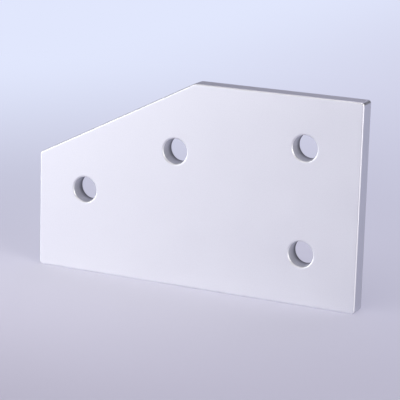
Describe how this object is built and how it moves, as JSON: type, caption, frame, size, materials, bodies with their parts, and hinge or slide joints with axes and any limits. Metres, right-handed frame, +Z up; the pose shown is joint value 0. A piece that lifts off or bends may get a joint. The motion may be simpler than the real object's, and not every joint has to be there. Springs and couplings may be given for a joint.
{
  "type": "extrusion joining plate",
  "caption": "Flat aluminium plate with a square end and one sloped shoulder, drilled through to screw a sloping slotted profile to an upright one.",
  "frame": {"origin": "middle of the long bottom edge, half way through the plate's thickness", "axes": "+X along the bottom edge towards the square end, +Y through the thickness towards the face that lies on the profiles, +Z up"},
  "size_m": [0.0846, 0.0048, 0.0502],
  "materials": {
    "plate": "tumbled and clear anodised, satin"
  },
  "bodies": {
    "root": {"joining_plate": "plate"}
  },
  "joints": []
}
